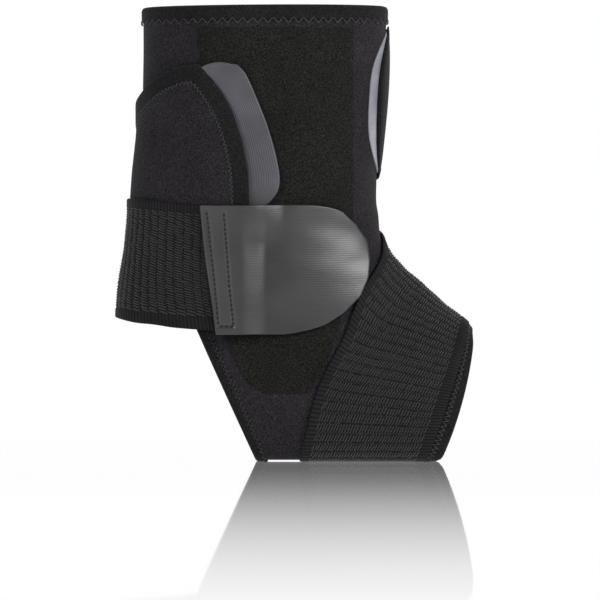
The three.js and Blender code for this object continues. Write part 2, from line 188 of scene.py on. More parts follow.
def seen(long, tall):
    """Where a point seen from the near side lies on the form, as (row, turn)."""
    long, tall = np.broadcast_arrays(np.asarray(long, float), np.asarray(tall, float))
    x, z = long * LONG, tall * TALL

    def above(row):
        fx, fz, bx, bz = section(row)[:4]
        return (fx - bx) * (z - bz) - (fz - bz) * (x - bx)

    at = turning(above, 0, x.shape)
    fx, fz, bx, bz, _, square, _ = section(at)
    reach = (fx - bx) ** 2 + (fz - bz) ** 2
    u = 2 * ((x - bx) * (fx - bx) + (z - bz) * (fz - bz)) / reach - 1
    share = np.sign(u) * np.minimum(1, np.abs(u)) ** (square / 2)
    return at, np.degrees(np.arccos(share))


def unseen(long, tall):
    """The same point on the far side."""
    at, turn = seen(long, tall)
    return at, -turn


def height(turn, tall):
    """Where a turn reaches a height, as (row, turn)."""
    turn, tall = np.broadcast_arrays(np.asarray(turn, float), np.asarray(tall, float))
    return turning(lambda row: tall * TALL - form(row, turn)[..., 2], 0, turn.shape), turn


def sole(turn, long):
    """Where a turn under the foot reaches a length, as (row, turn)."""
    turn, long = np.broadcast_arrays(np.asarray(turn, float), np.asarray(long, float))
    return turning(lambda row: form(row, turn)[..., 0] - long * LONG, 10, turn.shape), turn


def through(table, column, share, soft=0.04):
    """A line through the rows of a table whose first column is the share, its corners eased."""
    t = np.array(table)
    share = np.asarray(share, float)
    room = np.minimum(soft, np.minimum(share, 1 - share))
    return sum(np.interp(share + room * k, t[:, 0], t[:, column]) for k in np.linspace(-1, 1, 9)) / 9


# Meshes


def deselect():
    for o in bpy.context.selected_objects:
        o.select_set(False)


def new_object(name, verts, faces, uv=None, attributes=None):
    mesh = bpy.data.meshes.new(name)
    mesh.from_pydata(np.asarray(verts).tolist(), [], faces)
    mesh.validate()
    mesh.polygons.foreach_set("use_smooth", [True] * len(mesh.polygons))
    if uv is not None:
        layer = mesh.uv_layers.new(name="cloth")
        loops = np.zeros(len(mesh.loops), np.int32)
        mesh.loops.foreach_get("vertex_index", loops)
        layer.data.foreach_set("uv", np.asarray(uv, np.float32)[loops].ravel())
    for key, values in (attributes or {}).items():
        attribute = mesh.attributes.new(key, "FLOAT", "POINT")
        attribute.data.foreach_set("value", np.asarray(values, np.float32))
    mesh.update()
    made = bpy.data.objects.new(name, mesh)
    bpy.context.scene.collection.objects.link(made)
    return made


def grid_quads(rows, columns, ring=False):
    """Faces of a grid of points, closed round into a ring when ring is set."""
    i, j = np.meshgrid(np.arange(rows - 1), np.arange(columns if ring else columns - 1), indexing="ij")
    k = (j + 1) % columns
    a, b, c, d = i * columns + j, (i + 1) * columns + j, (i + 1) * columns + k, i * columns + k
    return np.stack([a, b, c, d], -1).reshape(-1, 4)


def facing(points, quads, outward):
    """The quads, all turned so that they look along the outward directions."""
    a, b, c = (points[quads[:, k]] for k in (0, 1, 2))
    side = (np.cross(b - a, c - a) * outward[quads[:, 0]]).sum(-1)
    return quads if side.sum() >= 0 else quads[:, ::-1]


def shell(name, inner, outer, quads, puff, steps=5, uv=None, attributes=None):
    """A closed sheet between two skins, whose open edges are rounded by a bulge of puff metres."""
    count = len(outer)
    quads = facing(outer, quads, outer - inner)
    turned = np.roll(quads, -1, axis=1)
    edges = np.stack([quads.ravel(), turned.ravel()], 1)
    edges = edges[edges[:, 0] != edges[:, 1]]
    key, back = edges[:, 0] * count + edges[:, 1], edges[:, 1] * count + edges[:, 0]
    rim = edges[~np.isin(key, back)]
    after = {int(a): int(b) for a, b in rim}
    before = {int(b): int(a) for a, b in rim}
    ids = np.array(sorted(after), int)
    middle, half = (outer + inner) / 2, (outer - inner) / 2
    tangent = middle[[after[i] for i in ids]] - middle[[before[i] for i in ids]]
    bulge = unit(np.cross(tangent, half[ids])) * puff
    verts = [outer, inner]
    slot_of = {0: {i: i for i in ids.tolist()}, steps: {i: i + count for i in ids.tolist()}}
    total = 2 * count
    for k in range(1, steps):
        angle = math.pi * k / steps
        verts.append(middle[ids] + half[ids] * math.cos(angle) + bulge * math.sin(angle))
        slot_of[k] = {int(i): total + n for n, i in enumerate(ids)}
        total += len(ids)
    faces = [tuple(dict.fromkeys(q)) for q in quads.tolist()]
    faces += [tuple(dict.fromkeys(q)) for q in (quads[:, ::-1] + count).tolist()]
    for k in range(steps):
        top, low = slot_of[k], slot_of[k + 1]
        faces += [(top[b], top[a], low[a], low[b]) for a, b in rim.tolist()]
    faces = [f for f in faces if len(f) > 2]
    spread = lambda values: np.concatenate([values, values] + [values[ids]] * (steps - 1))
    return new_object(
        name,
        np.concatenate(verts),
        faces,
        None if uv is None else spread(np.asarray(uv)),
        {k: spread(np.asarray(v)) for k, v in (attributes or {}).items()},
    )


def cloth(name, at, turn, inner, thick, puff, **more):
    """A sheet over the form: rows and turns of its points, and how far its inner face is lifted."""
    low = form_point(at, turn, inner)
    high = form_point(at, turn, inner + thick)
    rows, columns = at.shape
    return shell(name, low.reshape(-1, 3), high.reshape(-1, 3), grid_quads(rows, columns), puff, **more)


def flat_uv(points):
    """Distances along and across a grid of points, in metres."""
    across = np.linalg.norm(np.diff(points, axis=1), axis=-1).mean(0)
    down = np.linalg.norm(np.diff(points, axis=0), axis=-1).mean(1)
    u, v = np.concatenate([[0], np.cumsum(down)]), np.concatenate([[0], np.cumsum(across)])
    return np.stack(np.meshgrid(u, v, indexing="ij"), -1).reshape(-1, 2)


def threads(name, paths, radius, resolution=2):
    """Sewing thread along many short paths of points, as one mesh of closed round strands."""
    curve = bpy.data.curves.new(name, "CURVE")
    curve.dimensions = "3D"
    curve.bevel_depth = radius
    curve.bevel_resolution = resolution - 1
    curve.use_fill_caps = True
    for points in paths:
        spline = curve.splines.new("POLY")
        spline.points.add(len(points) - 1)
        spline.points.foreach_set("co", np.c_[points, np.ones(len(points))].ravel())
    made = bpy.data.objects.new(name, curve)
    bpy.context.scene.collection.objects.link(made)
    deselect()
    made.select_set(True)
    bpy.context.view_layer.objects.active = made
    bpy.ops.object.convert(target="MESH")
    made.data.polygons.foreach_set("use_smooth", [True] * len(made.data.polygons))
    deselect()
    return made


def beside(at, turn, shift, steps=8):
    """Points moved across the form by a distance in millimetres to the left of a path on it."""
    e = 1e-3
    n = form_normal(at, turn)
    left = unit(np.cross(n, np.gradient(form(at, turn), axis=0))) * np.asarray(shift)[..., None] / steps
    for _ in range(steps):
        here = np.clip(at, 0.02, LAST - 0.02)
        by_row = (form(here + e, turn) - form(here - e, turn)) / (2 * e)
        by_turn = (form(at, turn + e) - form(at, turn - e)) / (2 * e)
        a, b, d = (by_row * by_row).sum(-1), (by_row * by_turn).sum(-1), (by_turn * by_turn).sum(-1)
        p, q = (left * by_row).sum(-1), (left * by_turn).sum(-1)
        det = np.maximum(a * d - b * b, 1e-9)
        at, turn = at + (d * p - b * q) / det, turn + (a * q - b * p) / det
    return at, turn


# Materials


def linear(hex_colour):
    """An sRGB hex colour as the linear colour that Blender's sockets take."""
    parts = [int(hex_colour[i : i + 2], 16) / 255 for i in (1, 3, 5)]
    return tuple(p / 12.92 if p <= 0.04045 else ((p + 0.055) / 1.055) ** 2.4 for p in parts) + (1.0,)


def add_node(tree, kind, settings=None, values=None, links=None):
    """Adds a node with its settings, its sockets' values and its links from other nodes' sockets."""
    node = tree.nodes.new(kind)
    for key, value in (settings or {}).items():
        setattr(node, key, value)
    for key, value in (values or {}).items():
        node.inputs[key].default_value = value
    for key, source in (links or {}).items():
        tree.links.new(source, node.inputs[key])
    return node


def empty_material(name):
    material = bpy.data.materials.new(name)
    material.use_nodes = True
    material.node_tree.nodes.clear()
    return material, material.node_tree


def noise(tree, where, size_mm, **values):
    """Noise whose largest grain has a size in millimetres."""
    values = {"Scale": 1 / (size_mm * MM), **values}
    return add_node(tree, "ShaderNodeTexNoise", values=values, links={"Vector": where}).outputs["Fac"]


def ramped(tree, value, low, high, to_low=0.0, to_high=1.0):
    """A value moved from one range to another."""
    values = {"From Min": low, "From Max": high, "To Min": to_low, "To Max": to_high}
    return add_node(tree, "ShaderNodeMapRange", values=values, links={"Value": value}).outputs[0]


def eased(tree, value, low, high, to_low, to_high):
    """A value moved from one range to another, slow at both ends."""
    settings = {"interpolation_type": "SMOOTHSTEP"}
    values = {"From Min": low, "From Max": high, "To Min": to_low, "To Max": to_high}
    return add_node(tree, "ShaderNodeMapRange", settings, values, {"Value": value}).outputs[0]


def blended(tree, dark, pale, share):
    """Two linear colours mixed by a share."""
    settings = {"data_type": "RGBA"}
    return add_node(tree, "ShaderNodeMix", settings, {6: dark, 7: pale}, {0: share}).outputs[2]


def scaled(tree, colour, share):
    """A colour made darker or paler by a share."""
    links = {0: colour, "Scale": share}
    return add_node(tree, "ShaderNodeVectorMath", {"operation": "SCALE"}, links=links).outputs[0]


def raised(tree, tall, depth_mm, strength=1.0):
    """Fine relief from a height, with its depth in millimetres."""
    values = {"Strength": strength, "Distance": depth_mm * MM}
    return add_node(tree, "ShaderNodeBump", values=values, links={"Height": tall}).outputs[0]


def finish_material(tree, colour, bump, roughness, values):
    links = {"Base Color": colour, "Normal": bump}
    shader = add_node(tree, "ShaderNodeBsdfPrincipled", values=values, links=links)
    shader.inputs["Roughness"].default_value = roughness
    add_node(tree, "ShaderNodeOutputMaterial", links={"Surface": shader.outputs[0]})


def knit_material(name, dark, pale, grain_mm, fuzz, bump_mm):
    """Polyester jersey heat bonded to foam: a matte knit whose loops catch light as fine grain, with a
    soft sheen from loose fibre. The real loops are under 0.5 mm, so the grain is drawn coarser."""
    material, tree = empty_material(name)
    where = add_node(tree, "ShaderNodeTexCoord").outputs["Object"]
    grain = noise(tree, where, grain_mm, Detail=3.0, Roughness=0.7)
    patch = noise(tree, where, 22, Detail=2.0)
    speck = ramped(tree, grain, 0.4, 0.78)
    mixed = blended(tree, linear(dark), linear(pale), speck)
    shade = ramped(tree, patch, 0.3, 0.7, 0.82, 1.15)
    colour = scaled(tree, mixed, shade)
    bump = raised(tree, grain, bump_mm)
    sheen = {"Sheen Weight": fuzz, "Sheen Roughness": 0.55, "Specular IOR Level": 0.12}
    finish_material(tree, colour, bump, 0.93, sheen)
    return material


def ribbed_material(name, dark, pale, pitch_mm, along_u, depth_mm, roughness, values):
    """Woven tape on a piece's own cloth map: fine ribs at a pitch in millimetres, across or along it."""
    material, tree = empty_material(name)
    uv = add_node(tree, "ShaderNodeUVMap", {"uv_map": "cloth"}).outputs[0]
    split = add_node(tree, "ShaderNodeSeparateXYZ", links={0: uv})
    where = add_node(tree, "ShaderNodeTexCoord").outputs["Object"]
    grain = noise(tree, where, 0.8, Detail=2.0)
    per_metre = 2 * math.pi / (pitch_mm * MM)
    run = split.outputs[0 if along_u else 1]
    turns = add_node(tree, "ShaderNodeMath", {"operation": "MULTIPLY"}, {1: per_metre}, {0: run}).outputs[0]
    rib = add_node(tree, "ShaderNodeMath", {"operation": "SINE"}, links={0: turns}).outputs[0]
    share = ramped(tree, rib, -1.0, 1.0)
    soft = add_node(tree, "ShaderNodeMath", {"operation": "MULTIPLY_ADD"}, {1: 0.45, 2: 0.0}, {0: grain})
    tall = add_node(tree, "ShaderNodeMath", {"operation": "ADD"}, links={0: share, 1: soft.outputs[0]})
    woven = blended(tree, linear(dark), linear(pale), share)
    patch = noise(tree, where, 26, Detail=3.0)
    shade = ramped(tree, patch, 0.35, 0.65, 0.72, 1.28)
    colour = scaled(tree, woven, shade)
    bump = raised(tree, tall.outputs[0], depth_mm)
    finish_material(tree, colour, bump, roughness, values)
    return material


def thread_material(name, colour):
    """Spun polyester sewing thread: matte, with a faint twist that breaks up its highlight."""
    material, tree = empty_material(name)
    where = add_node(tree, "ShaderNodeTexCoord").outputs["Object"]
    twist = noise(tree, where, 0.5, Detail=2.0)
    pale = tuple(min(1, 1.5 * c) for c in linear(colour))
    base = blended(tree, linear(colour), pale, twist)
    bump = raised(tree, twist, 0.1, 0.6)
    finish_material(tree, base, bump, 0.7, {"Sheen Weight": 0.2, "Specular IOR Level": 0.35})
    return material


def jersey():
    """Polyester jersey bonded to foam neoprene. Its loops break the light into fine grey grain on
    near black, and the foam behind them keeps the surface matte and full."""
    return knit_material("jersey_bonded_neoprene", "#080708", "#454147", 0.6, 0.05, 0.2)


def loop_cloth():
    """Knitted nylon, brushed until its loops stand up. They catch the light as coarser, deeper specks
    than the jersey's, and the ground between them goes nearly black."""
    return knit_material("brushed_loop_cloth", "#020302", "#343532", 0.7, 0.05, 0.3)


def binding_tape():
    """Stretch binding folded over a cut edge. It is knitted flat and tight, so its grain is low and
    it looks smoother and darker than the jersey beside it."""
    return knit_material("stretch_binding_tape", "#0c0c0d", "#2c2c2e", 0.9, 0.05, 0.12)


def webbing_ground():
    """The woven ground of elastic webbing. Its cross ribs show along the bare selvedges. Its black is
    made darker still as painted shade, so that the valleys between the raised yarns read dark."""
    low_gloss = {"Specular IOR Level": 0.2}
    return ribbed_material("woven_elastic_webbing", "#030303", "#1c1c1c", 1.9, True, 0.2, 0.7, low_gloss)


def webbing_yarn():
    """Spun polyester floats that the weave lifts over its rubber. They stand out as short paler dashes."""
    return thread_material("elastic_webbing_yarn", "#212121")


def tab_hook():
    """The smooth back of moulded hook tape, with a satin gloss that draws a soft highlight."""
    gloss = {"Specular IOR Level": 0.9}
    return ribbed_material("satin_hook_tape", "#1d1d1f", "#29292c", 1.2, False, 0.02, 0.4, gloss)


def strip_hook():
    """Hook tape with fine rows along it, a mid grey with a broad dull shine."""
    gloss = {"Specular IOR Level": 0.6}
    return ribbed_material("brushed_hook_tape", "#35353a", "#4c4c51", 1.1, True, 0.04, 0.5, gloss)


def painted_highlight_hook_tape():
    """Hook tape with a satin shine, seen at the shin as the lightest grey of the object.
    Its pale colour is a painted highlight: it is the same tape as the back strip, catching the light at a
    glancing angle.
    """
    gloss = {"Specular IOR Level": 0.6}
    return ribbed_material("satin_hook_tape_painted_highlight", "#8a8a92", "#96969e", 1.2, False, 0.02, 0.36, gloss)


def tab_thread():
    """Waxed black thread that reads as dark dashes on the grey tab."""
    return thread_material("waxed_black_thread", "#0d0d0d")


def black_thread():
    """Sewing thread a little paler than the cloth, so that a seam shows only close up."""
    return thread_material("black_sewing_thread", "#2b2b2c")


def grey_thread():
    """Grey sewing thread, pale enough to draw its zigzag on the dark binding."""
    return thread_material("grey_sewing_thread", "#3d3d3e")


MADE_MATERIALS = {}


def material_of(maker):
    """The material that a maker gives, made once."""
    if maker not in MADE_MATERIALS:
        MADE_MATERIALS[maker] = maker()
    return MADE_MATERIALS[maker]


def settle(piece, material, slot, *nodes):
    """Gives a finished piece its material and its body, and hides the solids that it stands for."""
    piece.data.materials.clear()
    piece.data.materials.append(material_of(material))
    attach(piece, "root")
    if nodes:
        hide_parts(*nodes)
    return piece


# Outlines of the sheets, as listed shares

# Share up the panel, left, right and height as shares of the length and height.
PANEL = [
    (0, 0.364, 0.494, 0.153), (0.06, 0.307, 0.523, 0.184), (0.18, 0.239, 0.585, 0.285),
    (0.4, 0.205, 0.631, 0.46), (0.75, 0.182, 0.631, 0.753), (1, 0.17, 0.631, 0.956),
]
# Share up the back flap's curved edge, and its turn.
BACK_EDGE = [(0, 94.5), (0.1, 94.8), (0.31, 95.6), (0.5, 98.5), (0.7, 103.4), (0.85, 110), (1, 120)]
# Share along its top edge from the far side, and its height.
BACK_TOP = [(0, 0.636), (0.25, 0.728), (0.48, 0.789), (0.6, 0.805), (0.8, 0.847), (0.9, 0.865), (1, 0.872)]
BACK_ROOT, BACK_LOW = 240, 0.536
# Share up the back hook strip, outer turn, inner turn and height.
BACK_HOOK = [
    (0, 94, 101, 0.54), (0.08, 87.5, 101, 0.564), (0.13, 84.2, 101, 0.581), (0.19, 81.7, 101, 0.6),
    (0.28, 81.4, 101.5, 0.63), (0.42, 83.7, 103, 0.678), (0.57, 87.1, 105.5, 0.73),
    (0.73, 91.4, 110, 0.787), (0.87, 95.6, 117, 0.835), (0.96, 99, 122, 0.866), (1, 104, 121, 0.881),
]
# Share along the front flap, and the heights of its two edges.
FRONT_PATH = [
    (0, 0.586, 0.703), (0.14, 0.573, 0.745), (0.35, 0.573, 0.803),
    (0.6, 0.59, 0.879), (0.82, 0.619, 0.937), (1, 0.636, 0.96),
]
FRONT_ROOT = 240
# Share up the tab, left, right and height.
TAB = [
    (0, 0.23, 0.426, 0.283), (0.015, 0.228, 0.483, 0.289), (0.05, 0.226, 0.54, 0.301),
    (0.14, 0.222, 0.598, 0.328), (0.27, 0.216, 0.644, 0.363), (0.41, 0.209, 0.664, 0.402),
    (0.54, 0.203, 0.668, 0.439), (0.7, 0.198, 0.656, 0.485), (0.84, 0.194, 0.626, 0.523),
    (0.95, 0.192, 0.587, 0.552), (0.985, 0.191, 0.54, 0.562), (1, 0.191, 0.494, 0.564),
]
# The three lines of stitches that hold the tab, each a list of long and tall shares.
TAB_SEAMS = [
    [(0.2058, 0.554), (0.234, 0.299)],
    [(0.2525, 0.551), (0.2645, 0.39), (0.2765, 0.299)],
    [(0.234, 0.299), (0.2765, 0.299)],
]

# Thicknesses of the layers, and how far each one's inner or outer face is from the form.
LOOP_CLOTH, FLAP, TAB_THICK = 0.8, 2.5, 1.8
PANEL_TOP = GAP + LOOP_CLOTH
HOOK_IN = PANEL_TOP + GAP
FLAP_IN = GAP + 0.25
FLAP_TOP = FLAP_IN + FLAP
OVER_IN = FLAP_TOP + GAP
OVER_TOP = OVER_IN + FLAP
STRAP_OVER = OVER_TOP + GAP


def strap_stations():
    """The strap's two edges along its length, as (row, turn), and their lifts from the form."""
    on = GAP
    over = STRAP_OVER
    rows = [
        (sole(218, 0.494), sole(214, 0.835), on, on), (sole(196, 0.489), sole(196, 0.835), on, on),
        (sole(180, 0.483), sole(180, 0.835), on, on), (sole(160, 0.481), sole(160, 0.835), on, on),
        (seen(0.486, 0.04), seen(0.852, 0.04), on, on), (seen(0.511, 0.113), seen(0.875, 0.092), on, on),
        (seen(0.557, 0.205), seen(0.902, 0.151), on, on), (seen(0.616, 0.293), seen(0.93, 0.209), on, on),
        (seen(0.668, 0.389), seen(0.955, 0.259), on, on), (height(8, 0.481), height(4, 0.303), on, on),
        (unseen(0.676, 0.519), unseen(0.915, 0.251), on, on),
        (unseen(0.591, 0.536), unseen(0.79, 0.243), on, on),
        (unseen(0.477, 0.548), unseen(0.619, 0.259), 1, 0.6),
        (unseen(0.335, 0.556), unseen(0.432, 0.276), 4, 2.5),
        (unseen(0.176, 0.565), unseen(0.244, 0.296), over, 4.5),
        (unseen(0.051, 0.571), unseen(0.074, 0.313), over, 6),
        (height(-180, 0.577), height(-180, 0.322), over, 6.4),
        (height(-210, 0.575), height(-214, 0.309), over, 6.2),
        (seen(0.108, 0.568), seen(0.108, 0.3), over, 4.6),
        (seen(0.205, 0.561), seen(0.216, 0.294), over, 3.2),
        (seen(0.284, 0.556), seen(0.29, 0.291), over, 3.2),
    ]
    table = np.array([[float(x) for x in (*left, *right, a, b)] for left, right, a, b in rows])
    late = np.arange(len(table)) > 17
    for column in (1, 3):
        turn = table[:, column]
        turn[late & (turn > 0)] -= 360
    return table


STRAP = strap_stations()


def strap_place(a, b):
    """Row, turn and lift of a place a share along and across the strap."""
    at = np.asarray(a) * (len(STRAP) - 1)
    columns = [along(STRAP[:, k], at) for k in range(6)]
    lift = np.maximum(GAP, mix(columns[4], columns[5], b))
    return mix(columns[0], columns[2], b), mix(columns[1], columns[3], b), lift


def pressed(at, turn):
    """How much of the webbing's thickness is left where the weight of the foot presses it."""
    return mix(0.4, 1.0, ease(form(at, turn)[..., 2] / 12))


def shares(count):
    return np.linspace(0, 1, count)


def mesh_grid(rows, columns):
    return np.meshgrid(shares(rows), shares(columns), indexing="ij")


def heel_turn(at):
    """The turn at which a row meets the heel opening's straight edge, or 180 where it doesn't."""
    (tx, tz), (fx, fz) = ((x * LONG, z * TALL) for x, z in (HEEL_TOP, HEEL_FOOT))
    low, high = np.full(at.shape, 40.0), np.full(at.shape, 180.0)

    def behind(turn):
        p = form(at, turn)
        return (p[..., 0] - tx) * (fz - tz) - (p[..., 2] - tz) * (fx - tx) > 0

    whole = ~behind(high)
    for _ in range(HALVINGS):
        middle = (low + high) / 2
        cut = behind(middle)
        high = np.where(cut, middle, high)
        low = np.where(cut, low, middle)
    return np.where(whole, 180.0, (low + high) / 2)


def heel_rows():
    """The rows between which the heel opening lies."""
    rows = np.linspace(5, LAST, 4000)
    open_rows = rows[heel_turn(rows) < 179.9]
    return open_rows[0], open_rows[-1]


HEEL_FROM, HEEL_TO = heel_rows()


def heel_path(count):
    """The heel opening's edge as rows and turns: down the near side and up the far side."""
    s = (1 - np.cos(np.pi * shares(count))) / 2
    at = mix(HEEL_FROM, HEEL_TO, s)
    turn = heel_turn(at)
    turn[0] = turn[-1] = 180
    return np.concatenate([at, at[-2:0:-1]]), np.concatenate([turn, 360 - turn[-2:0:-1]])


# Seams, bands and flaps


def edge_band(name, at, turn, profile, side=1, scale=None):
    """A folded band along a closed edge of the sleeve. The profile gives each point's distance in
    from the edge, negative beyond it, and its height over the form, both in millimetres. The side is
    1 where inward is left of the path, and the scale widens the band along its length."""
    scale = np.ones(len(at)) if scale is None else scale
    inward = np.array([p[0] for p in profile], float)
    tall = np.array([p[1] for p in profile], float)
    looped = lambda x, wrap: np.concatenate([x[-3:] - wrap, x, x[:3] + wrap])
    wrap = 360 if abs(turn[-1] - turn[0]) > 180 else 0
    long_at, long_turn, long_scale = looped(at, 0), looped(turn, wrap), looped(scale, 0)
    rings = []
    for d, h in zip(inward, tall):
        a, t = beside(long_at, long_turn, side * max(d, 0.0) * long_scale)
        p = form_point(np.clip(a, 0, LAST), t, np.full(a.shape, h))
        if d < 0:
            a2, t2 = beside(long_at, long_turn, np.full(long_at.shape, float(side)))
            flush = np.zeros(a.shape)
            edge_line = form_point(long_at, long_turn, flush)
            way = unit(edge_line - form_point(np.clip(a2, 0, LAST), t2, flush))
            p = form_point(long_at, long_turn, np.full(a.shape, h)) - way * d * MM
        rings.append(p[3:-3])
    points = np.stack(rings, 1)
    count, wide = points.shape[:2]
    i, j = np.meshgrid(np.arange(count), np.arange(wide), indexing="ij")
    k, m = (i + 1) % count, (j + 1) % wide
    quads = np.stack([i * wide + j, k * wide + j, k * wide + m, i * wide + m], -1).reshape(-1, 4)
    flat = points.reshape(-1, points.shape[-1])
    out = np.broadcast_to(points.mean(1, keepdims=True), points.shape).reshape(-1, 3)
    quads = facing(flat, quads, flat - out)
    return new_object(name, flat, quads.tolist())


def zigzag(at, turn, near, far, period, tall, seed=7):
    """Thread of a zigzag seam beside a path, on rows of needle holes near and far from it: one strand
    from each hole to the next, sunk at its ends. Lengths are in millimetres."""
    p = form(at, turn)
    length = np.concatenate([[0], np.cumsum(np.linalg.norm(np.diff(p, axis=0), axis=-1))])
    count = int(length[-1] / (period / 2))
    steps = np.linspace(0, length[-1], count + 1)
    rng = np.random.default_rng(seed)
    follow = lambda values: np.interp(steps, length, np.broadcast_to(values, length.shape))
    hole = np.where(np.arange(count + 1) % 2 == 0, follow(near), follow(far))
    hole = hole + rng.normal(0, 0.08, count + 1)
    over = follow(tall)
    a, t = beside(follow(at), follow(turn), hole)
    sink = np.array([(0.05, -0.2), (0.28, 0.16), (0.72, 0.16), (0.95, -0.2)])
    k, drop = sink[None, :, 0], sink[None, :, 1]
    row, round_to = (mix(v[:-1, None], v[1:, None], k) for v in (a, t))
    return list(form_point(row, round_to, over[:-1, None] + drop))


def folded(wide, tall, skin):
    """The section of a binding folded over an edge of the sleeve: in from the edge, and height."""
    return [
        (wide, -0.3), (wide, 0.25 * tall), (wide - 0.4, 0.7 * tall), (wide - 1.4, tall), (wide / 2, tall),
        (1.6, 1.05 * tall), (0.5, 0.8 * tall), (-0.5, 0), (-0.9, -skin / 2), (-0.5, -skin),
        (0.5, -skin - 0.6), (1.6, -skin - 0.8), (wide - 0.5, -skin - 0.6), (wide, -skin + 0.1),
        (wide / 2, -skin + 0.4), (wide / 2, -0.4),
    ]


def near_edge(points, edges):
    """Each point's distance in millimetres to the nearest point of some edges, all in metres."""
    flat = points.reshape(-1, points.shape[-1])
    near = np.full(len(flat), np.inf)
    for start in range(0, len(flat), 2000):
        block = flat[start : start + 2000]
        near[start : start + 2000] = np.sqrt(((block[:, None] - edges[None]) ** 2).sum(-1).min(1))
    return near.reshape(points.shape[:-1]) / MM


def mark_faces(piece, attribute, material):
    """Gives the faces where an attribute is over a half a second material."""
    piece.data.materials.append(material_of(material))
    values = np.zeros(len(piece.data.vertices), np.float32)
    piece.data.attributes[attribute].data.foreach_get("value", values)
    for polygon in piece.data.polygons:
        polygon.material_index = int(values[list(polygon.vertices)].mean() > 0.5)


def flap(name, at, turn, lift, wide, slot_node, edges, full=1.0):
    """A foam flap with its bound edge, a raised band of tape. The full share thins the foam."""
    middle = form_point(at, turn, lift + FLAP / 2)
    from_edge = near_edge(middle, np.concatenate([middle[e] for e in edges]))
    band = ease((wide - from_edge) / 0.8 + 0.5)
    groove = np.exp(-(((from_edge - wide) / 0.7) ** 2))
    thick = (FLAP + 0.45 * band - 0.35 * groove) * full
    made = cloth(name, at, turn, lift, thick, 1.1 * MM, steps=7, attributes={"band": band.ravel()})
    settle(made, jersey, "jersey_neoprene", slot_node)
    mark_faces(made, "band", binding_tape)
    return middle


def inner_path(at, turn, out, wide, edges):
    """The line on a grid that lies a distance in millimetres inside some of its edges, taken from
    where each of its columns crosses that distance, as rows, turns and heights."""
    points = form_point(at, turn, out)
    from_edge = near_edge(points, np.concatenate([points[e] for e in edges]))
    found = []
    for j in range(at.shape[1]):
        inside = np.nonzero(from_edge[:, j] > wide)[0]
        if len(inside) == 0 or inside[-1] + 1 >= len(at):
            continue
        i = inside[-1]
        s = (from_edge[i, j] - wide) / (from_edge[i, j] - from_edge[i + 1, j])
        found.append([mix(v[i, j], v[i + 1, j], s) for v in (at, turn, out)])
    top = []
    for i in range(at.shape[0] - 1, -1, -1):
        inside = np.nonzero(from_edge[i] > wide)[0]
        if len(inside) == 0 or inside[-1] + 1 >= at.shape[1]:
            continue
        j = inside[-1]
        s = (from_edge[i, j] - wide) / (from_edge[i, j] - from_edge[i, j + 1])
        top.append([mix(v[i, j], v[i, j + 1], s) for v in (at, turn, out)])
    side = np.array(found)
    top = np.array(top)
    if len(top):
        top = top[(top[:, 1] - side[-1, 1]) * np.sign(turn[0, 0] - turn[-1, 0]) > 1]
        side = np.concatenate([side, top])
    return side.T


def tab_lift(long, tall):
    """How far the tab's inner face lies over the form: over the strap's end, down to the panel, and
    over the back flap's hook strip above it."""
    share = (TAB[-1][3] - tall) / (TAB[-1][3] - TAB[0][3])
    over = mix(STRAP[-1][4], STRAP[-1][5], share) + WEBBING + GAP
    down_to = mix(HOOK_IN, OVER_TOP + GAP, ease((1 - share - 0.7) / 0.3) * (1 - ease((long - 0.335) / 0.09)))
    return mix(over, down_to, ease((long - 0.29) / 0.08 - 0.06))


# Raised yarns of the webbing, in millimetres: half their length, their radius, how far a tip leans
# across the strap, and the bare selvedge beside them. A yarn has rings of a few sides.
YARN_HALF, YARN_RADIUS, YARN_LEAN, SELVEDGE = 2.55, 0.44, 0.55, 4.6
YARN_SIDES, YARN_RINGS = 5, 3


def yarn_shape():
    """One raised yarn: rings of points along it between two sunk tips, as shares of its half length
    along, its radius across and its height, and its faces."""
    ring_s = np.repeat([-0.62, 0.0, 0.62], YARN_SIDES)
    ring_t = np.tile(np.radians([-40, 30, 90, 150, 220]), YARN_RINGS)
    fat = np.repeat([0.8, 1.0, 0.8], YARN_SIDES)
    ds = np.concatenate([[-1], ring_s, [1]])
    dw = np.concatenate([[0], np.cos(ring_t) * fat, [0]])
    dh = np.concatenate([[-0.5], np.sin(ring_t) * fat, [-0.5]])
    point = lambda ring, side: 1 + YARN_SIDES * ring + side % YARN_SIDES
    faces = [(0, point(0, k + 1), point(0, k)) for k in range(YARN_SIDES)]
    for r in range(YARN_RINGS - 1):
        for k in range(YARN_SIDES):
            faces.append((point(r, k), point(r, k + 1), point(r + 1, k + 1), point(r + 1, k)))
    tip = len(ds) - 1
    last = YARN_RINGS - 1
    faces += [(tip, point(last, k), point(last, k + 1)) for k in range(YARN_SIDES)]
    return ds, dw, dh, faces


# The stage

# The camera looks level at the near side. One pixel of the photograph, which has 600 across, covers
# 0.53 mm of the object. The other camera values are metres.
PHOTO_SCALE, PHOTO_PIXELS = 0.53, 600
CAMERA_X, CAMERA_AWAY, CAMERA_HEIGHT = 0.0027, 4.0, 0.0853
# Name, place, size and power of each softbox, and the point that they face.
LAMPS = [
    ("key_softbox", (0.72, -0.62, 0.6), 0.55, 8.5),
    ("fill_softbox", (-1.2, -1.2, 0.8), 0.7, 10.5),
]
LAMP_TARGET = (0.0, 0.0, 0.12)


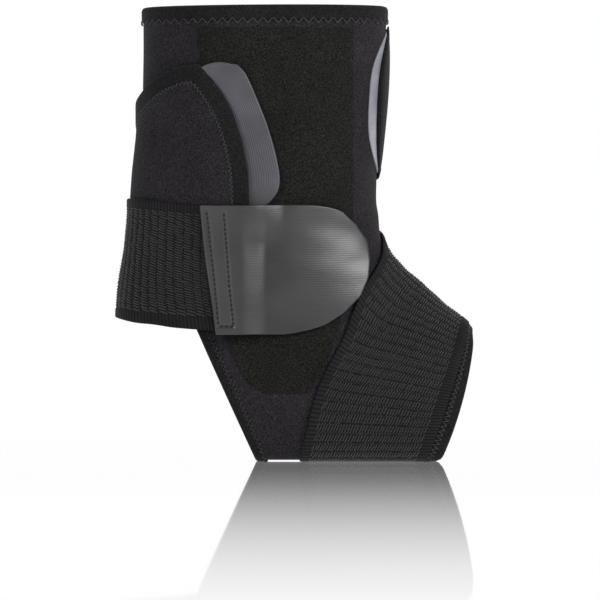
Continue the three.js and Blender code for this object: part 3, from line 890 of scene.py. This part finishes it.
def acrylic_floor():
    """Polished white acrylic: it mirrors at a glancing look, and less the farther from the object.
    Its white is painted light, a glow in place of a lit surface, dimmed towards the object as painted shade.
    """
    material, tree = empty_material("polished_white_acrylic")
    where = add_node(tree, "ShaderNodeTexCoord").outputs["Object"]
    length = add_node(tree, "ShaderNodeVectorMath", {"operation": "LENGTH"}, links={0: where})
    away = length.outputs["Value"]
    near = eased(tree, away, 0.0, 2.3, 1.0, 0.02)
    glance = add_node(tree, "ShaderNodeFresnel", values={"IOR": 1.5}).outputs[0]
    both_shares = {0: near, 1: glance}
    share = add_node(tree, "ShaderNodeMath", {"operation": "MULTIPLY"}, links=both_shares).outputs[0]
    # painted light: the floor glows white instead of being lit by the lamps. Its glow (the matte node) falls
    # from 1.0 far out to 0.85 near the object, a painted shade around it
    painted_floor_light = ramped(tree, away, 0.05, 0.8, 0.85, 1.0)
    matte = add_node(tree, "ShaderNodeEmission", values={"Color": (1, 1, 1, 1)}, links={"Strength": painted_floor_light})
    mirror = add_node(tree, "ShaderNodeBsdfGlossy", values={"Color": (1, 1, 1, 1), "Roughness": 0.02})
    both = add_node(tree, "ShaderNodeMixShader", links={0: share, 1: matte.outputs[0], 2: mirror.outputs[0]})
    add_node(tree, "ShaderNodeOutputMaterial", links={"Surface": both.outputs[0]})
    return material


def studio_world():
    """A white backdrop behind the object and a dim room in front of it, which the softboxes light."""
    world = bpy.data.worlds.new("white_studio")
    world.use_nodes = True
    tree = world.node_tree
    tree.nodes.clear()
    way = add_node(tree, "ShaderNodeTexCoord").outputs["Generated"]
    split = add_node(tree, "ShaderNodeSeparateXYZ", links={0: way})
    shade = eased(tree, split.outputs[1], 0.2, 0.9, 0.15, 1.0)
    back = add_node(tree, "ShaderNodeBackground", values={"Color": (1, 1, 1, 1)}, links={"Strength": shade})
    add_node(tree, "ShaderNodeOutputWorld", links={"Surface": back.outputs[0]})
    return world


class BraceSizes(bpy.types.PropertyGroup):
    neoprene: bpy.props.FloatProperty(
        name="Neoprene", description="Thickness of the sleeve",
        default=3.5 * MM, min=0.001, unit="LENGTH",
    )
    hem: bpy.props.FloatProperty(
        name="Top hem", description="Height of the stitched band at the rim",
        default=7 * MM, unit="LENGTH",
    )
    rib_pitch: bpy.props.FloatProperty(
        name="Rib pitch", description="Distance between the strap's ribs",
        default=4.9 * MM, unit="LENGTH",
    )
    yarn_pitch: bpy.props.FloatProperty(
        name="Yarn pitch", description="Distance between the raised yarns of a rib",
        default=1.45 * MM, unit="LENGTH",
    )
    floor: bpy.props.FloatProperty(
        name="Floor", description="Size of the studio floor",
        default=60.0, unit="LENGTH",
    )


class BraceOperator:
    bl_options = {"REGISTER", "UNDO"}

    def execute(self, context):
        self.build(context.scene.brace_sizes)
        return {"FINISHED"}


class BRACE_OT_sleeve(BraceOperator, bpy.types.Operator):
    """The neoprene tube of leg and foot, open at the rim, the heel and the toes"""

    bl_idname = "brace.sleeve"
    bl_label = "Sleeve"

    def build(self, sizes):
        wave = lambda a, b, n: mix(a, b, (1 - np.cos(np.pi * shares(n))) / 2)
        above = np.linspace(0, HEEL_FROM, 70)[:-1]
        open_part = wave(HEEL_FROM, HEEL_TO, 96)[:-1]
        rows = np.concatenate([above, open_part, np.linspace(HEEL_TO, LAST, 34)])
        reach = heel_turn(rows)
        columns = 141
        turn = reach[:, None] * np.linspace(-1, 1, columns)[None, :]
        at = np.broadcast_to(rows[:, None], turn.shape)
        outer = form_point(at, turn, 0.0)
        inner = form_point(at, turn, -sizes.neoprene / MM)
        quads = grid_quads(len(rows), columns)
        closed = {i * columns: i * columns + columns - 1 for i in range(len(rows)) if reach[i] >= 180}
        remap = np.arange(at.size)
        remap[list(closed)] = list(closed.values())
        quads = remap[quads]
        used = np.unique(quads)
        order = np.full(at.size, -1)
        order[used] = np.arange(len(used))
        skins = [face.reshape(-1, 3)[used] for face in (inner, outer)]
        made = shell("sleeve_neoprene", *skins, order[quads], 0.9 * MM)
        settle(made, jersey, "jersey_neoprene", "sleeve")


class BRACE_OT_edges(BraceOperator, bpy.types.Operator):
    """The top hem and the bindings of the heel and toe openings, with their zigzag seams"""

    bl_idname = "brace.edges"
    bl_label = "Hem and bindings"

    def build(self, sizes):
        tall, skin = sizes.hem / MM, sizes.neoprene / MM
        turn = np.linspace(0, 360, 360, endpoint=False)
        round_turn = np.append(turn, 360.0)
        rim = np.zeros(360)
        band = edge_band("top_hem_band", rim, turn, folded(tall, BAND_TALL, skin))
        settle(band, binding_tape, "binding_cloth", "top_hem")
        seam = threads("top_hem_seam", zigzag(np.zeros(361), round_turn, 5.6, 8.4, 5.3, 0.95), 0.2 * MM)
        settle(seam, black_thread, "binding_cloth")

        at, turn_down = heel_path(170)
        band = edge_band("heel_binding_band", at, turn_down, folded(HEEL_BAND, BAND_TALL, skin))
        settle(band, binding_tape, "binding_cloth", "heel_binding")
        seam = threads("heel_seam", zigzag(at, turn_down, 3.6, 5.8, 2.6, 0.9), 0.14 * MM)
        settle(seam, black_thread, "binding_cloth")

        wider = mix(1.0, 2.75, (1 - np.cos(np.radians(turn))) / 2)
        toe = np.full(360, float(LAST))
        band = edge_band("toe_binding_band", toe, turn, folded(TOE_BAND, BAND_TALL, skin), -1, wider)
        settle(band, binding_tape, "binding_cloth", "toe_binding")
        wide = np.append(wider, wider[0]) * TOE_BAND
        path = zigzag(np.append(toe, LAST), round_turn, -0.4 * wide, -0.76 * wide, 2.6, 1.0)
        seam = threads("toe_seam", path, 0.15 * MM)
        settle(seam, grey_thread, "binding_cloth")


class BRACE_OT_loop_panel(BraceOperator, bpy.types.Operator):
    """The napped panel on the near side that the hooks grip"""

    bl_idname = "brace.loop_panel"
    bl_label = "Loop panel"

    def build(self, sizes):
        a, b = mesh_grid(70, 130)
        at, turn = seen(mix(through(PANEL, 1, b), through(PANEL, 2, b), a), through(PANEL, 3, b))
        made = cloth("loop_cloth", at, turn, -0.2, 0.75, 0.3 * MM)
        settle(made, loop_cloth, "loop_cloth", "loop_panel")


class BRACE_OT_back_flap(BraceOperator, bpy.types.Operator):
    """The padded flap that comes round the back, its bound edge and its grey hook strip"""

    bl_idname = "brace.back_flap"
    bl_label = "Back flap"

    def build(self, sizes):
        a, b = mesh_grid(150, 90)
        tall = mix(BACK_LOW, through(BACK_TOP, 1, a), b)
        at, turn = height(mix(BACK_ROOT, through(BACK_EDGE, 1, b), a), tall)
        lift = np.interp(tall, (0.536, 0.586, 0.65, 0.72, 0.77), (4.1, 3.9, 2.8, 1.3, FLAP_IN))
        on_strip = np.maximum(lift, mix(HOOK_IN + 1.6, FLAP_IN, ease((tall - 0.79) / 0.08)))
        lift = mix(lift, on_strip, ease((a - 0.6) / 0.3))
        on_flap = (FLAP + 0.2) * ease((turn - 165) / 60) * ease((0.82 - tall) / 0.04)
        lift = np.maximum(lift, FLAP_IN + on_flap)
        crease = np.exp(-(((turn - 146) / 3.5) ** 2))
        crease = crease * ease((tall - 0.66) / 0.05) * ease((0.78 - tall) / 0.04)
        lift = lift - 0.5 * crease
        edges = [(-1, slice(None)), (slice(None), -1)]
        flap("back_flap_foam", at, turn, lift, BACK_BOUND, "back_flap", edges)
        path = inner_path(at, turn, lift + FLAP, BACK_BOUND, edges)
        seam = threads("back_flap_seam", zigzag(*path[:2], -0.9, 0.9, 2.4, path[2] + 0.2, 3), 0.13 * MM)
        settle(seam, grey_thread, "binding_cloth")

        a, b = mesh_grid(24, 90)
        turn = mix(through(BACK_HOOK, 2, b), through(BACK_HOOK, 1, b), a)
        at, turn = height(turn, np.minimum(through(BACK_HOOK, 3, b), 0.862 + 0.016 * np.sin(2.3 * a)))
        uv = flat_uv(form_point(at, turn, HOOK_IN))
        made = cloth("back_hook_tape", at, turn, HOOK_IN, 1.5, 0.5 * MM, uv=uv)
        settle(made, strip_hook, "hook_tape", "back_flap_hook_strip")


class BRACE_OT_front_flap(BraceOperator, bpy.types.Operator):
    """The padded flap that comes round the far side to the shin, with its grey hook strip"""

    bl_idname = "brace.front_flap"
    bl_label = "Front flap"

    def build(self, sizes):
        end = lambda b: 19 - 17 * np.abs(2 * b - 1) ** 3
        a, b = mesh_grid(170, 60)
        low, high = through(FRONT_PATH, 1, a), through(FRONT_PATH, 2, a)
        at, turn = height(mix(-FRONT_ROOT, end(b), a), mix(low, high, b))
        lift = np.full(at.shape, FLAP_IN)
        edges = [(-1, slice(None)), (slice(None), -1), (slice(None), 0)]
        # thin where it lies under the back flap, and where its end meets the top and the bottom
        rounded = np.sin(np.pi * mix(0.06, 0.94, b)) ** 0.6
        full = mix(0.25, 1.0, ease((a - 0.25) / 0.2)) * mix(1.0, rounded, ease((a - 0.9) / 0.08))
        flap("front_flap_foam", at, turn, lift, FRONT_BOUND, "front_flap", edges, full)

        a, b = mesh_grid(24, 80)
        bulge = 1 - np.abs(2 * b - 1) ** 4
        start = end(b) + 0.8
        at, turn = height(mix(start, start + 1 + 7.5 * bulge, a), mix(0.64, 0.953, b))
        uv = flat_uv(form_point(at, turn, 0))
        made = cloth("front_hook_tape", at, turn, -0.1, 1.2, 0.4 * MM, uv=uv)
        # the pale colour of this hook tape is a painted highlight
        settle(made, painted_highlight_hook_tape, "hook_tape", "front_flap_hook_strip")


class BRACE_OT_strap(BraceOperator, bpy.types.Operator):
    """The elastic webbing: its woven ground, its selvedges and the raised yarns of its ribs"""

    bl_idname = "brace.strap"
    bl_label = "Elastic strap"

    def build(self, sizes):
        fine = shares(3000)
        line = form_point(*strap_place(fine, 0.5))
        length = np.concatenate([[0], np.cumsum(np.linalg.norm(np.diff(line, axis=0), axis=-1))])
        share_at = lambda metres: np.interp(metres, length, fine)
        total = length[-1]
        wide = np.linalg.norm(np.diff(form_point(*strap_place(0.3, shares(60))), axis=0), axis=-1).sum()

        rows, columns = 520, 41
        a, b = np.meshgrid(share_at(np.linspace(0, total, rows)), shares(columns), indexing="ij")
        at, turn, lift = strap_place(a, b)
        edge = np.minimum(b, 1 - b) * wide / MM
        squeeze = pressed(at, turn)
        lift = lift * squeeze
        thick = (1.35 + 0.55 * ease((4.3 - edge) / 0.9)) * squeeze
        uv = flat_uv(form_point(at, turn, lift))
        made = cloth("strap_webbing", at, turn, lift, thick, 0.9 * MM, uv=uv)
        settle(made, webbing_ground, "elastic_webbing", "elastic_strap")

        rng = np.random.default_rng(11)
        margin = SELVEDGE * MM
        ribs = np.arange(sizes.rib_pitch, total - 2 * MM, sizes.rib_pitch)
        yarns = np.arange(margin, wide - margin, sizes.yarn_pitch)
        s0, w0 = (v.ravel() for v in np.meshgrid(ribs, yarns, indexing="ij"))
        s0 = s0 + rng.normal(0, 0.28 * MM, s0.shape)
        w0 = w0 + rng.normal(0, 0.09 * MM, s0.shape)
        stretch = YARN_HALF * MM * (1 + rng.normal(0, 0.06, s0.shape))
        ds, dw, dh, faces = yarn_shape()
        s = s0[:, None] + ds * stretch[:, None]
        w = w0[:, None] + dw * YARN_RADIUS * MM + ds * YARN_LEAN * MM
        h = 1.4 + dh * 0.5
        at, turn, lift = strap_place(share_at(s), w / wide)
        verts = form_point(at, turn, (lift + h) * pressed(at, turn))
        every = [tuple(len(ds) * n + v for v in f) for n in range(len(s0)) for f in faces]
        made = new_object("strap_yarns", verts.reshape(-1, 3), every)
        settle(made, webbing_yarn, "elastic_webbing")


class BRACE_OT_tab(BraceOperator, bpy.types.Operator):
    """The grey hook tab over the strap's end, with the stitched box that holds it"""

    bl_idname = "brace.tab"
    bl_label = "Hook tab"

    def build(self, sizes):
        a, b = mesh_grid(150, 130)
        b = ease(b)
        long = mix(through(TAB, 1, b, 0.015), through(TAB, 2, b, 0.015), a)
        tall = through(TAB, 3, b, 0.015)
        at, turn = seen(long, tall)
        lift = tab_lift(long, tall) + 1.4 * (1 - (2 * b - 1) ** 2) * ease((long - 0.3) / 0.15)
        stitched = np.full(at.shape, 99.0)
        for line in TAB_SEAMS:
            corners = np.array(line)
            fine = np.linspace(0, len(corners) - 1, 90)
            sides = [np.interp(fine, range(len(corners)), corners[:, k]) for k in (0, 1)]
            dense = np.stack(sides, 1)
            here = np.stack([long * LONG, tall * TALL], -1) * MM
            stitched = np.minimum(stitched, near_edge(here, dense * (LONG * MM, TALL * MM)))
        thick = TAB_THICK - 0.6 * np.exp(-((stitched / 0.9) ** 2))
        uv = np.stack([long * LONG, tall * TALL], -1).reshape(-1, 2) * MM
        made = cloth("tab_hook_tape", at, turn, lift, thick, 0.6 * MM, uv=uv)
        settle(made, tab_hook, "hook_tape", "hook_tab")

        paths = []
        for line in TAB_SEAMS:
            corners = np.array(line) * (LONG, TALL)
            reach = np.concatenate([[0], np.cumsum(np.linalg.norm(np.diff(corners, axis=0), axis=-1))])
            for start in np.arange(0.8, reach[-1] - 1.6, 2.5):
                s = start + np.array([0, 0.3, 1.3, 1.6])
                x, z = (np.interp(s, reach, corners[:, k]) / size for k, size in ((0, LONG), (1, TALL)))
                at, turn = seen(x, z)
                over = tab_lift(x, z) + TAB_THICK - 0.35
                paths.append(form_point(at, turn, over + np.array([-0.3, 0.12, 0.12, -0.3])))
        made = threads("tab_stitches", paths, 0.3 * MM)
        settle(made, tab_thread, "hook_tape")


class BRACE_OT_stage(BraceOperator, bpy.types.Operator):
    """The pale studio floor, the soft lights and the camera"""

    bl_idname = "brace.stage"
    bl_label = "Stage"

    def build(self, sizes):
        deselect()
        bpy.ops.mesh.primitive_plane_add(size=sizes.floor)
        floor = bpy.context.object
        floor.name = "studio_floor"
        floor.data.materials.append(acrylic_floor())
        scene = bpy.context.scene
        scene.view_settings.view_transform = "Standard"
        scene.world = studio_world()
        for name, place, size, power in LAMPS:
            light = bpy.data.lights.new(name, "AREA")
            light.shape, light.size, light.energy = "SQUARE", size, power
            lamp = bpy.data.objects.new(name, light)
            lamp.location = place
            lamp.rotation_mode = "QUATERNION"
            lamp.rotation_quaternion = (Vector(LAMP_TARGET) - Vector(place)).to_track_quat("-Z", "Y")
            scene.collection.objects.link(lamp)
        camera = bpy.data.cameras.new("camera")
        across = PHOTO_SCALE * MM * PHOTO_PIXELS
        camera.lens = camera.sensor_width * CAMERA_AWAY / across
        camera.clip_end = 100
        eye = bpy.data.objects.new("camera", camera)
        eye.location = (CAMERA_X, -CAMERA_AWAY, CAMERA_HEIGHT)
        eye.rotation_euler = (math.radians(90), 0, 0)
        scene.collection.objects.link(eye)
        scene.camera = eye


class BRACE_PT_panel(bpy.types.Panel):
    bl_idname = "BRACE_PT_panel"
    bl_label = "Ankle brace"
    bl_space_type = "VIEW_3D"
    bl_region_type = "UI"
    bl_category = "Brace"

    def draw(self, context):
        for name in BraceSizes.__annotations__:
            self.layout.prop(context.scene.brace_sizes, name)
        for c in OPERATORS:
            self.layout.operator(c.bl_idname)


OPERATORS = [
    BRACE_OT_stage, BRACE_OT_sleeve, BRACE_OT_edges, BRACE_OT_loop_panel, BRACE_OT_back_flap,
    BRACE_OT_front_flap, BRACE_OT_strap, BRACE_OT_tab,
]
CLASSES = [BraceSizes, *OPERATORS, BRACE_PT_panel]


def register():
    for c in CLASSES:
        bpy.utils.register_class(c)
    bpy.types.Scene.brace_sizes = bpy.props.PointerProperty(type=BraceSizes)


def unregister():
    del bpy.types.Scene.brace_sizes
    for c in reversed(CLASSES):
        bpy.utils.unregister_class(c)


def main():
    register()
    for operator in OPERATORS:
        getattr(bpy.ops.brace, operator.bl_idname.split(".")[1])()


if __name__ == "__main__":
    main()
